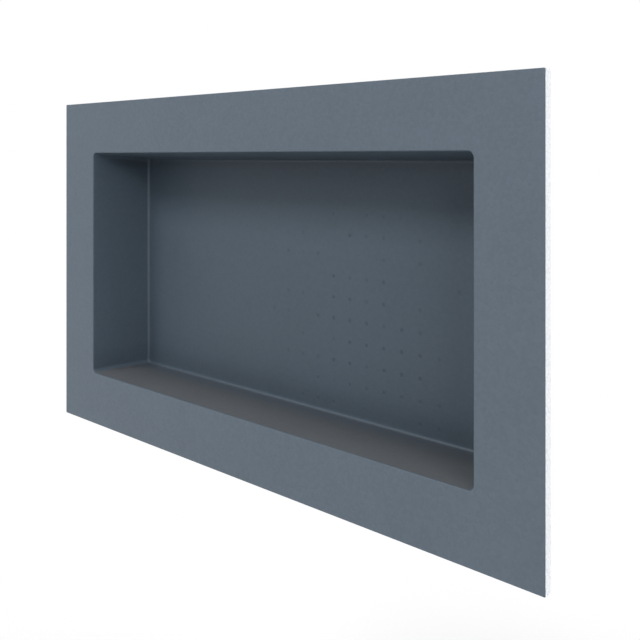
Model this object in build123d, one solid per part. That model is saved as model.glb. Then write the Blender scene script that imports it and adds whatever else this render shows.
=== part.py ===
from build123d import *
import math
import os

# Shower niche insert, moulded in one piece: a recess for bottles with a broad flange around its mouth.
# Millimetres and degrees. +X right, +Y into the wall, +Z up.
# The origin is at the centre of the mouth, on the plane of the flange's back face.

# Recess
opening_width = 609.6
opening_height = 304.8
recess_depth = 88.9  # flange face to back panel
wall_draft = 5.5  # side walls and ceiling lean in towards the back, the floor is level
wall_thickness = 9.5  # walls and back panel

# Flange
flange_margin = 69.85  # from the opening out to the flange's edge
flange_thickness = 9.5

# Rounded corners and edges
corner_radius = 6.0  # where wall meets wall, along the depth
back_fillet = 3.5  # where the walls run into the back panel
lip_round = 1.5  # front edge of the opening
neck_fillet = 6.0  # behind the flange, around the recess
flange_corner_radius = 1.2
flange_edge_round = 0.5  # front edge of the flange

flange_width = opening_width + 2 * flange_margin
flange_height = opening_height + 2 * flange_margin
flange_face_y = -flange_thickness


def recess_block(grow):
    """The recess as a solid, with every wall moved outwards by grow and its mouth on the flange face."""
    length = recess_depth + grow
    back_y = flange_face_y + length
    lean = length * math.tan(math.radians(wall_draft))
    side_grow = grow / math.cos(math.radians(wall_draft))
    mouth_x = opening_width / 2 + side_grow
    ceiling_z = opening_height / 2 + side_grow
    floor_z = -opening_height / 2 - grow
    plan = [
        (-mouth_x, flange_face_y),
        (mouth_x, flange_face_y),
        (mouth_x - lean, back_y),
        (lean - mouth_x, back_y),
    ]
    side = [
        (flange_face_y, floor_z),
        (back_y, floor_z),
        (back_y, ceiling_z - lean),
        (flange_face_y, ceiling_z),
    ]
    with BuildPart() as block:
        with BuildSketch(Plane.XY):
            Polygon(*plan, align=None)
        extrude(amount=ceiling_z - floor_z, both=True)
        with BuildSketch(Plane.YZ):
            Polygon(*side, align=None)
        extrude(amount=mouth_x, both=True, mode=Mode.INTERSECT)
        mouth = block.faces().sort_by(Axis.Y)[0]
        back = block.faces().sort_by(Axis.Y)[-1]
        fillet(block.edges() - mouth.edges() - back.edges(), radius=corner_radius + grow)
        fillet(block.faces().sort_by(Axis.Y)[-1].edges(), radius=back_fillet + grow)
    return block.part


def flange_plate():
    """The flat plate around the mouth, before the recess is cut through it."""
    with BuildPart() as plate:
        with BuildSketch(Plane.XZ):
            RectangleRounded(flange_width, flange_height, flange_corner_radius)
        extrude(amount=flange_thickness)
        fillet(plate.faces().sort_by(Axis.Y)[0].edges(), radius=flange_edge_round)
    return plate.part


def niche_body():
    """The whole moulding: flange and walls in one, hollowed out by the recess."""
    with BuildPart() as body:
        add(flange_plate())
        add(recess_block(wall_thickness))
        add(recess_block(0), mode=Mode.SUBTRACT)
        flange_face = body.faces().filter_by(Axis.Y).sort_by(Axis.Y)[0]
        fillet(flange_face.inner_wires()[0].edges(), radius=lip_round)
        flange_back = body.faces().filter_by(Axis.Y).sort_by(Axis.Y)[1]
        fillet(flange_back.inner_wires()[0].edges(), radius=neck_fillet)
    return body.part


os.makedirs("parts", exist_ok=True)
export_step(niche_body(), "parts/niche_body.step")
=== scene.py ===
import math
import random

import bmesh
import bpy
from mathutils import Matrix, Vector


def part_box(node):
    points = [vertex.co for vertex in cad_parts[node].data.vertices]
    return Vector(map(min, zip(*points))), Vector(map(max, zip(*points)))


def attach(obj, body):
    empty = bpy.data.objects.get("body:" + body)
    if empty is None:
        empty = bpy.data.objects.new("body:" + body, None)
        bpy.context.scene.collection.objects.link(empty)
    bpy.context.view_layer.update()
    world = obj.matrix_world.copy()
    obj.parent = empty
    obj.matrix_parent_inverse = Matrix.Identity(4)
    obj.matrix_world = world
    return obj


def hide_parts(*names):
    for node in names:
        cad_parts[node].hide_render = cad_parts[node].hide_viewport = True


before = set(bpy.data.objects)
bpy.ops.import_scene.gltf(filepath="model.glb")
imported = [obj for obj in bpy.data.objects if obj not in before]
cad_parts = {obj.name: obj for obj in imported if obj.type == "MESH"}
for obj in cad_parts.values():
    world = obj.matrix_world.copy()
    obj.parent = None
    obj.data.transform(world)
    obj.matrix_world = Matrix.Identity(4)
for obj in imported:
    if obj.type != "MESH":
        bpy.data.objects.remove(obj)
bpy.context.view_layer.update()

# Niche body: one shell moulded in rigid white bead foam, a broad flange around a recess with a level floor.
# The side walls and the ceiling lean in towards the back so that the shell leaves its mould.
# It is bedded on the wall framing by the back of its flange and tiled over from the front.
body_low, body_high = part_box("niche_body")
flange_width = body_high.x - body_low.x
flange_height = body_high.z - body_low.z
face_y = body_low.y
outer_back_y = body_high.y
flange_margin = 0.06985
flange_thickness = 0.0095
wall_thickness = 0.0095
wall_draft = math.radians(5.5)
corner_radius = 0.006
back_fillet = 0.0035
lip_round = 0.0015
neck_fillet = 0.006
flange_corner_radius = 0.0012
flange_edge_round = 0.0005
sharp_fold = math.radians(40)
same_place = 1e-6  # lengths that differ by less count as equal
flat_normal_y = 0.999  # a face whose normal has more Y than this lies flat, as the panel does

flange_back_y = face_y + flange_thickness
panel_y = outer_back_y - wall_thickness
recess_lean = (panel_y - face_y) * math.tan(wall_draft)
outer_lean = (outer_back_y - flange_back_y) * math.tan(wall_draft)
mouth_half_width = flange_width / 2 - flange_margin
mouth_half_height = flange_height / 2 - flange_margin
recess_floor_z = -mouth_half_height
panel_top_z = mouth_half_height - recess_lean
neck_reach = wall_thickness / math.cos(wall_draft) - flange_thickness * math.tan(wall_draft)

shell = bmesh.new()
bmesh.ops.create_cube(shell, size=1.0)
bmesh.ops.scale(shell, vec=(flange_width, flange_thickness, flange_height), verts=shell.verts)
bmesh.ops.translate(shell, vec=(0, (face_y + flange_back_y) / 2, 0), verts=shell.verts)
skin_index = 0
foam_index = 1
front = min(shell.faces, key=lambda face: face.calc_center_median().y)
back = max(shell.faces, key=lambda face: face.calc_center_median().y)
for face in shell.faces:
    face.material_index = skin_index if face == front else foam_index


def drop_floor(face, distance):
    """Moves a face's two lower corners down."""
    low_corners = sorted(face.verts, key=lambda vert: vert.co.z)[:2]
    bmesh.ops.translate(shell, vec=(0, 0, -distance), verts=low_corners)


bmesh.ops.inset_region(shell, faces=[front], thickness=flange_margin, use_even_offset=True)
bmesh.ops.inset_region(
    shell, faces=[front], thickness=recess_lean, depth=face_y - panel_y, use_even_offset=True
)
drop_floor(front, recess_lean)
bmesh.ops.inset_region(shell, faces=[back], thickness=flange_margin - neck_reach, use_even_offset=True)
drop_floor(back, wall_thickness - neck_reach)
bmesh.ops.inset_region(
    shell, faces=[back], thickness=outer_lean, depth=outer_back_y - flange_back_y, use_even_offset=True
)
drop_floor(back, outer_lean)


def edges_from(depth, to_depth):
    """Edges with one end at each of two depths."""
    ends = sorted((depth, to_depth))
    return [
        edge
        for edge in shell.edges
        if all(
            abs(y - end) < same_place
            for y, end in zip(sorted(vert.co.y for vert in edge.verts), ends)
        )
    ]


def fold_edges(depth, of_recess):
    """Edges at one depth where the flange folds into the recess, or else where it ends."""
    near_x = mouth_half_width + flange_margin / 2
    near_z = mouth_half_height + flange_margin / 2
    return [
        edge
        for edge in edges_from(depth, depth)
        if any(abs(face.normal.y) < flat_normal_y for face in edge.link_faces)
        and all(abs(v.co.x) < near_x and abs(v.co.z) < near_z for v in edge.verts) == of_recess
    ]


def round_edges(edges, radius, segments):
    """Rounds edges off to a radius."""
    bmesh.ops.bevel(
        shell, geom=edges, offset=radius, offset_type="OFFSET", affect="EDGES",
        segments=segments, profile=0.5, material=-1,
    )


round_edges(edges_from(face_y, panel_y), corner_radius, segments=8)
round_edges(edges_from(panel_y, panel_y), back_fillet, segments=6)
round_edges(fold_edges(face_y, of_recess=True), lip_round, segments=4)
round_edges(edges_from(flange_back_y, outer_back_y), corner_radius + wall_thickness, segments=8)
round_edges(edges_from(outer_back_y, outer_back_y), back_fillet + wall_thickness, segments=8)
round_edges(fold_edges(flange_back_y, of_recess=True), neck_fillet, segments=6)
round_edges(edges_from(face_y, flange_back_y), flange_corner_radius, segments=5)
round_edges(fold_edges(face_y, of_recess=False), flange_edge_round, segments=3)

# Vent marks: small pits in the back panel, one at each steam vent of the mould, in even rows and columns.
# The sealing skin has run into them, and they are painted a little darker, as painted shade.
# It fills most of them nearly level, and leaves those around one place right of the middle open.
mark_pitch = 0.0245
mark_columns = 24
mark_rows = 12
mark_radius = 0.0034
mark_rim = 0.0006
mark_rim_drop = 0.00003
mark_wall = 0.001
open_marks = 22
open_depth = 0.00038
half_filled_marks = 40
half_filled_depth = 0.0002
filled_marks = mark_columns * mark_rows - open_marks - half_filled_marks
filled_depth = 0.00003
open_place = Vector((0.11, panel_y, -0.05))
mark_scatter = 0.055
scatter_seed = 4
panel_centre_z = (recess_floor_z + panel_top_z) / 2


def cut_shell(place, normal):
    """Draws a line of new edges around the shell, where a plane crosses it."""
    geom = shell.verts[:] + shell.edges[:] + shell.faces[:]
    bmesh.ops.bisect_plane(shell, geom=geom, dist=same_place, plane_co=place, plane_no=normal)


for column in range(mark_columns):
    cut_shell(((column - (mark_columns - 1) / 2) * mark_pitch, 0, 0), (1, 0, 0))
for row in range(mark_rows):
    cut_shell((0, 0, panel_centre_z + (row - (mark_rows - 1) / 2) * mark_pitch), (0, 0, 1))

crossings = [
    vert
    for vert in shell.verts
    if abs(vert.co.y - panel_y) < same_place
    and all(face.normal.y < -flat_normal_y for face in vert.link_faces)
]
marks = bmesh.ops.bevel(
    shell, geom=crossings, offset=mark_radius, offset_type="OFFSET", affect="VERTICES",
    segments=1, profile=0.5, material=-1,
)["faces"]
mark_edges = list(dict.fromkeys(edge for mark in marks for edge in mark.edges))
bmesh.ops.bisect_edges(shell, edges=mark_edges, cuts=1)
for mark in marks:
    centre = mark.calc_center_median()
    for vert in mark.verts:
        vert.co = centre + (vert.co - centre).normalized() * mark_radius
uneven = random.Random(scatter_seed)


def filling(mark):
    """How far the skin fills a mark: more with distance from the open place, with some scatter."""
    away = (mark.calc_center_median() - open_place).length
    return away + uneven.uniform(-mark_scatter, mark_scatter)


marks.sort(key=filling)
for count, depth in (
    (open_marks, open_depth), (half_filled_marks, half_filled_depth), (filled_marks, filled_depth)
):
    like_marks, marks = marks[:count], marks[count:]
    for step, drop in ((mark_rim, mark_rim_drop), (mark_wall, depth)):
        bmesh.ops.inset_individual(
            shell, faces=like_marks, thickness=step, depth=-drop, use_even_offset=True
        )

# The shell is whole here. The skin reaches just round the flange's front edge.
for face in shell.faces:
    face.smooth = True
    if face.calc_center_median().y < face_y + flange_edge_round + same_place:
        face.material_index = skin_index

niche_mesh = bpy.data.meshes.new("niche_shell")
shell.to_mesh(niche_mesh)
shell.free()
niche_mesh.set_sharp_from_angle(angle=sharp_fold)
niche = bpy.data.objects.new("niche_shell", niche_mesh)
bpy.context.scene.collection.objects.link(niche)
flat_faces = niche.modifiers.new("flat faces stay flat", "WEIGHTED_NORMAL")
flat_faces.keep_sharp = True
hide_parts("niche_body")
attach(niche, "root")

# Bead grain: the foam is steamed beads pressed flat against each other, with a fine crease around each.
# It shows bare on the white foam, and faintly through the skin.
crease_width = 0.09
crown_reach = 0.8
crown_edge = 0.5
bead_grain = bpy.data.node_groups.new("bead_grain", "ShaderNodeTree")
for socket_name, kind in (("Place", "NodeSocketVector"), ("Beads per Metre", "NodeSocketFloat")):
    bead_grain.interface.new_socket(socket_name, in_out="INPUT", socket_type=kind)
for socket_name in ("Bead Tone", "Bead Height"):
    bead_grain.interface.new_socket(socket_name, in_out="OUTPUT", socket_type="NodeSocketFloat")


def add_node(tree, kind, sockets=None, **settings):
    """A new node in a tree. Each socket, by name or number, gets a value or another node's output."""
    node = tree.nodes.new(kind)
    for name, value in settings.items():
        setattr(node, name, value)
    for name, value in (sockets or {}).items():
        if isinstance(value, bpy.types.NodeSocket):
            tree.links.new(value, node.inputs[name])
        else:
            node.inputs[name].default_value = value
    return node


def add_range(tree, value, start, end, low=0.0, high=1.0, shape="LINEAR"):
    """Goes from low to high while the value goes from start to end."""
    sockets = {"Value": value, "From Min": start, "From Max": end, "To Min": low, "To Max": high}
    return add_node(tree, "ShaderNodeMapRange", sockets, interpolation_type=shape).outputs["Result"]


def add_math(tree, operation, *values):
    """One step of arithmetic on two or three values."""
    return add_node(tree, "ShaderNodeMath", dict(enumerate(values)), operation=operation).outputs[0]


bead_in = add_node(bead_grain, "NodeGroupInput").outputs
cell_sockets = {"Vector": bead_in["Place"], "Scale": bead_in["Beads per Metre"]}
bead = add_node(bead_grain, "ShaderNodeTexVoronoi", cell_sockets, feature="F1").outputs
crease = add_node(bead_grain, "ShaderNodeTexVoronoi", cell_sockets, feature="DISTANCE_TO_EDGE").outputs
bead_colour = add_node(bead_grain, "ShaderNodeSeparateColor", {"Color": bead["Color"]}).outputs
flank = add_range(bead_grain, crease["Distance"], 0, crease_width, shape="SMOOTHSTEP")
crown = add_range(bead_grain, bead["Distance"], 0, crown_reach, low=1.0, high=crown_edge)
bead_height = add_math(bead_grain, "MULTIPLY", flank, crown)
add_node(bead_grain, "NodeGroupOutput", {"Bead Tone": bead_colour["Red"], "Bead Height": bead_height})


def add_grain(tree, place, beads_per_metre):
    """The bead grain's outputs in a material."""
    sockets = {"Place": place, "Beads per Metre": beads_per_metre}
    return add_node(tree, "ShaderNodeGroup", sockets, node_tree=bead_grain).outputs


# Sealing skin: a thin satin coat of slate grey against water, sprayed on the flange face and in the recess.
# It is painted palest on the flange face and darker in the recess, as painted light and shade.
# The recess's floor is painted warm and light at the front, as painted light, and darker towards the back,
# as painted shade.
# Along the folds at the head and foot of the back panel it is painted darker, as painted shade.
# The beads show through it, under a stipple of its own.
skin = bpy.data.materials.new("slate_sealing_skin")
skin.use_nodes = True
skin_tree = skin.node_tree
skin_shader = skin_tree.nodes["Principled BSDF"].inputs
skin_shader["Specular IOR Level"].default_value = 0.3
# Painted light and shade: the flange face takes paler slates than the recess, which is painted darker.
flange_lit_dark = (0.114, 0.1465, 0.1835, 1)
flange_lit_light = (0.1545, 0.1975, 0.2465, 1)
recess_shaded_dark = (0.080, 0.108, 0.138, 1)
recess_shaded_light = (0.099, 0.1335, 0.1705, 1)
# Painted shade in the folds at the head and foot of the back panel: these slates are darker.
fold_shade_dark = (0.061, 0.082, 0.105, 1)
fold_shade_light = (0.075, 0.1015, 0.1295, 1)
# The recess's floor: painted warm light at the front, painted shade towards the back.
floor_lit_warm_dark = (0.111, 0.119, 0.127, 1)
floor_lit_warm_light = (0.1375, 0.1465, 0.1565, 1)
floor_shaded_dark = (0.081, 0.0955, 0.114, 1)
floor_shaded_light = (0.100, 0.118, 0.140, 1)
# Painted shade inside the vent marks.
mark_shade_dark = (0.067, 0.0905, 0.1155, 1)
skin_beads_per_metre = 300
bead_part = 0.3
cloud_part = 0.5
stipple_part = 0.3
clouds_per_metre = 11
stipples_per_metre = 1400
satin_low = 0.38
satin_high = 0.52
bump_strength = 0.5
bead_relief = 0.00012
stipple_relief = 0.00006
foot_shade_part = 0.5
foot_top = 0.038  # where the painted fold shade starts, above the recess's floor
foot_full = 0.01
head_bottom = 0.014  # where it starts at the head, below the panel's top
head_full = 0.004
ceiling_start = 0.02  # where it starts on the ceiling, behind the flange face
ceiling_full = 0.07
floor_start = 0.048  # where the painted shade on the floor starts, behind the flange face
floor_full = 0.078

skin_place = add_node(skin_tree, "ShaderNodeTexCoord").outputs["Object"]
skin_at = add_node(skin_tree, "ShaderNodeSeparateXYZ", {"Vector": skin_place}).outputs
skin_grain = add_grain(skin_tree, skin_place, skin_beads_per_metre)
stipple = add_node(
    skin_tree, "ShaderNodeTexNoise",
    {"Vector": skin_place, "Scale": stipples_per_metre, "Detail": 2, "Roughness": 0.6},
).outputs["Fac"]
cloud = add_node(
    skin_tree, "ShaderNodeTexNoise",
    {"Vector": skin_place, "Scale": clouds_per_metre, "Detail": 3, "Roughness": 0.55},
).outputs["Fac"]
bead_share = add_math(skin_tree, "MULTIPLY", skin_grain["Bead Tone"], bead_part)
cloud_share = add_math(skin_tree, "MULTIPLY_ADD", cloud, cloud_part, bead_share)
light_share = add_math(skin_tree, "MULTIPLY_ADD", stipple, stipple_part, cloud_share)


def add_mix(tree, share, first, second):
    """A colour between two others. The node's sockets go by number, because several share a name."""
    return add_node(tree, "ShaderNodeMix", {0: share, 6: first, 7: second}, data_type="RGBA").outputs[2]


def add_slate(dark, light):
    """One shade of the skin, mottled by the beads, the clouding and the stipple."""
    return add_mix(skin_tree, light_share, dark, light)


# Painted shade: a band at the panel's head and on the back of the ceiling, and a half-strength band above
# the floor's fillet.
near_ceiling = add_range(skin_tree, skin_at["Z"], panel_top_z - head_bottom, panel_top_z - head_full)
deep = add_range(skin_tree, skin_at["Y"], face_y + ceiling_start, face_y + ceiling_full)
head_shade = add_math(skin_tree, "MULTIPLY", near_ceiling, deep)
near_floor = add_range(
    skin_tree, skin_at["Z"], recess_floor_z + foot_top, recess_floor_z + foot_full,
    high=foot_shade_part, shape="SMOOTHSTEP",
)
above_fillet = add_range(
    skin_tree, skin_at["Z"], recess_floor_z + back_fillet, recess_floor_z + back_fillet * 3 / 2
)
foot_shade = add_math(skin_tree, "MULTIPLY", near_floor, above_fillet)
in_fold_shade = add_math(skin_tree, "MAXIMUM", head_shade, foot_shade)
wall_slate = add_mix(
    skin_tree, in_fold_shade, add_slate(recess_shaded_dark, recess_shaded_light), add_slate(fold_shade_dark, fold_shade_light)
)
# Painted light and shade on the recess's floor: warm and light at the front, darker towards the back.
floor_shade_share = add_range(
    skin_tree, skin_at["Y"], face_y + floor_start, face_y + floor_full, shape="SMOOTHSTEP"
)
floor_slate = add_mix(
    skin_tree, floor_shade_share,
    add_slate(floor_lit_warm_dark, floor_lit_warm_light), add_slate(floor_shaded_dark, floor_shaded_light),
)
below_fillet = add_range(
    skin_tree, skin_at["Z"], recess_floor_z + back_fillet / 3, recess_floor_z + back_fillet / 10
)
past_lip = add_range(skin_tree, skin_at["Y"], face_y + lip_round / 2, face_y + lip_round * 3 / 2)
on_floor = add_math(skin_tree, "MULTIPLY", below_fillet, past_lip)
recess_slate = add_mix(skin_tree, on_floor, wall_slate, floor_slate)
# Painted light and shade: the flange face takes the paler slates, the whole recess the darker.
in_shaded_recess = add_range(skin_tree, skin_at["Y"], face_y, face_y + lip_round / 3)
plain_slate = add_mix(skin_tree, in_shaded_recess, add_slate(flange_lit_dark, flange_lit_light), recess_slate)
# Painted shade: the inside of each vent mark takes a darker slate, fully where it is deepest.
in_mark = add_range(skin_tree, skin_at["Y"], panel_y + mark_rim_drop, panel_y + open_depth)
slate = add_mix(skin_tree, in_mark, plain_slate, mark_shade_dark)
satin = add_range(skin_tree, cloud, 0, 1, low=satin_low, high=satin_high)


def add_bump(tree, height, strength, distance, under=None):
    """A normal raised by a height, over another bump where one lies under it."""
    sockets = {"Height": height, "Strength": strength, "Distance": distance}
    if under is not None:
        sockets["Normal"] = under
    return add_node(tree, "ShaderNodeBump", sockets).outputs["Normal"]


skin_beads = add_bump(skin_tree, skin_grain["Bead Height"], bump_strength, bead_relief)
skin_normal = add_bump(skin_tree, stipple, bump_strength, stipple_relief, under=skin_beads)
for socket_name, output in (("Base Color", slate), ("Roughness", satin), ("Normal", skin_normal)):
    skin_tree.links.new(output, skin_shader[socket_name])
niche_mesh.materials.append(skin)

# Bare foam: the white bead foam of the body, uncoated on the flange's edge and all over the back.
# The beads are pressed to flat facets by the mould, and the creases between them take a little shade.
foam = bpy.data.materials.new("white_bead_foam")
foam.use_nodes = True
foam_tree = foam.node_tree
foam_shader = foam_tree.nodes["Principled BSDF"].inputs
foam_shader["Roughness"].default_value = 0.72
foam_crease = (0.71, 0.74, 0.775, 1)
foam_white = (0.872, 0.897, 0.923, 1)
foam_beads_per_metre = 220
dullest_bead = 0.82
crease_depth = 0.5
foam_bump_strength = 0.6
foam_relief = 0.0002
foam_place = add_node(foam_tree, "ShaderNodeTexCoord").outputs["Object"]
foam_grain = add_grain(foam_tree, foam_place, foam_beads_per_metre)
bead_white = add_range(foam_tree, foam_grain["Bead Tone"], 0, 1, low=dullest_bead)
out_of_crease = add_range(foam_tree, foam_grain["Bead Height"], 0, crease_depth)
white_share = add_math(foam_tree, "MULTIPLY", bead_white, out_of_crease)
white = add_mix(foam_tree, white_share, foam_crease, foam_white)
foam_normal = add_bump(foam_tree, foam_grain["Bead Height"], foam_bump_strength, foam_relief)
for socket_name, output in (("Base Color", white), ("Normal", foam_normal)):
    foam_tree.links.new(output, foam_shader[socket_name])
niche_mesh.materials.append(foam)

# Studio floor: a plain pale floor well below the niche, matt, which takes its soft shadow.
# Away from the shadow it runs off into the white of the surround.
scene = bpy.context.scene
scene.view_settings.view_transform = "Standard"
floor_drop = 0.75
floor_half = 12
floor_tone = (0.9, 0.9, 0.9, 1)
bounce_tone = (0.58, 0.58, 0.58, 1)
fade_start = 0.4
fade_end = 1.0
floor_form = bmesh.new()
bmesh.ops.create_grid(floor_form, x_segments=1, y_segments=1, size=floor_half)
bmesh.ops.translate(floor_form, vec=(0, 0, -floor_drop), verts=floor_form.verts)
floor_mesh = bpy.data.meshes.new("floor")
floor_form.to_mesh(floor_mesh)
floor_form.free()
floor = bpy.data.objects.new("floor", floor_mesh)
scene.collection.objects.link(floor)


def add_seen(tree):
    """A mask of the rays that show the background: straight to the camera, mirrored, or through glass."""
    ray = add_node(tree, "ShaderNodeLightPath").outputs
    straight_or_mirrored = add_math(tree, "MAXIMUM", ray["Is Camera Ray"], ray["Is Glossy Ray"])
    return add_math(tree, "MAXIMUM", straight_or_mirrored, ray["Is Transmission Ray"])


floor_paint = bpy.data.materials.new("floor_paint")
floor_paint.use_nodes = True
floor_tree = floor_paint.node_tree
pale = floor_tree.nodes["Principled BSDF"]
pale.inputs["Base Color"].default_value = floor_tone
pale.inputs["Roughness"].default_value = 0.9
bounce = add_node(floor_tree, "ShaderNodeBsdfDiffuse", {"Color": bounce_tone})
glow = add_node(floor_tree, "ShaderNodeEmission")
floor_place = add_node(floor_tree, "ShaderNodeTexCoord").outputs["Object"]
flat_place = add_node(floor_tree, "ShaderNodeMapping", {"Vector": floor_place, "Scale": (1, 1, 0)})
reach = add_node(floor_tree, "ShaderNodeVectorMath", {0: flat_place.outputs["Vector"]}, operation="LENGTH")
far = add_range(floor_tree, reach.outputs["Value"], fade_start, fade_end, shape="SMOOTHSTEP")


def add_shader_mix(tree, share, first, second):
    """A shader between two others."""
    return add_node(tree, "ShaderNodeMixShader", {0: share, 1: first, 2: second}).outputs["Shader"]


shown = add_shader_mix(floor_tree, far, pale.outputs["BSDF"], glow.outputs["Emission"])
floor_surface = add_shader_mix(floor_tree, add_seen(floor_tree), bounce.outputs["BSDF"], shown)
floor_tree.links.new(floor_surface, floor_tree.nodes["Material Output"].inputs["Surface"])
floor_mesh.materials.append(floor_paint)

# Studio light: an even white surround, a broad soft box in front and above, and two on the right, one high.
# A narrow one hangs overhead and reaches the recess's floor.
# One on each side and one behind light the flange's edges and the back.
surround_level = 0.04
world = bpy.data.worlds.new("studio")
world.use_nodes = True
scene.world = world
surround = world.node_tree.nodes["Background"].inputs
surround["Color"].default_value = (1, 1, 1, 1)
surround_seen = add_range(world.node_tree, add_seen(world.node_tree), 0, 1, low=surround_level)
world.node_tree.links.new(surround_seen, surround["Strength"])


def soft_box(name, place, size, power):
    """A broad lamp turned to the middle of the niche's mouth."""
    light = bpy.data.lights.new(name, "AREA")
    light.shape = "RECTANGLE"
    light.size, light.size_y = size
    light.energy = power
    lamp = bpy.data.objects.new(name, light)
    lamp.location = place
    lamp.rotation_euler = (-Vector(place)).to_track_quat("-Z", "Y").to_euler()
    scene.collection.objects.link(lamp)


soft_box("front", place=(-1.15, -4.31, 4.02), size=(2.6, 1.7), power=168)
soft_box("right", place=(4.67, -3.27, 1.85), size=(2.4, 1.5), power=92)
soft_box("right_high", place=(5.02, -1.34, 3.00), size=(2.4, 1.5), power=43)
soft_box("overhead", place=(0, -0.25, 2.3), size=(1.4, 0.3), power=11)
soft_box("side_right", place=(2.4, 0.7, 0.3), size=(1.2, 1.2), power=25)
soft_box("side_left", place=(-2.4, 0.7, 0.3), size=(1.2, 1.2), power=20)
soft_box("behind", place=(-0.6, 2.4, 1.4), size=(1.6, 1.2), power=42)

# Camera: level, to the right of the niche and a little above its middle, at the photograph's place.
# Its frame is shifted down and to the right, as the photograph's is.
image_side = 640
focal_pixels = 860.17
principal_x = 286.44
principal_y = 156.69
camera_x = 0.72377
camera_off_face = 0.66608
camera_z = 0.14741
camera_turn = math.radians(44.411)
level = math.radians(90)
camera_data = bpy.data.cameras.new("camera")
camera_data.sensor_width = 36
camera_data.lens = focal_pixels / image_side * camera_data.sensor_width
camera_data.shift_x = 0.5 - principal_x / image_side
camera_data.shift_y = principal_y / image_side - 0.5
camera = bpy.data.objects.new("camera", camera_data)
camera.location = (camera_x, face_y - camera_off_face, camera_z)
camera.rotation_euler = (level, 0, camera_turn)
scene.collection.objects.link(camera)
scene.camera = camera
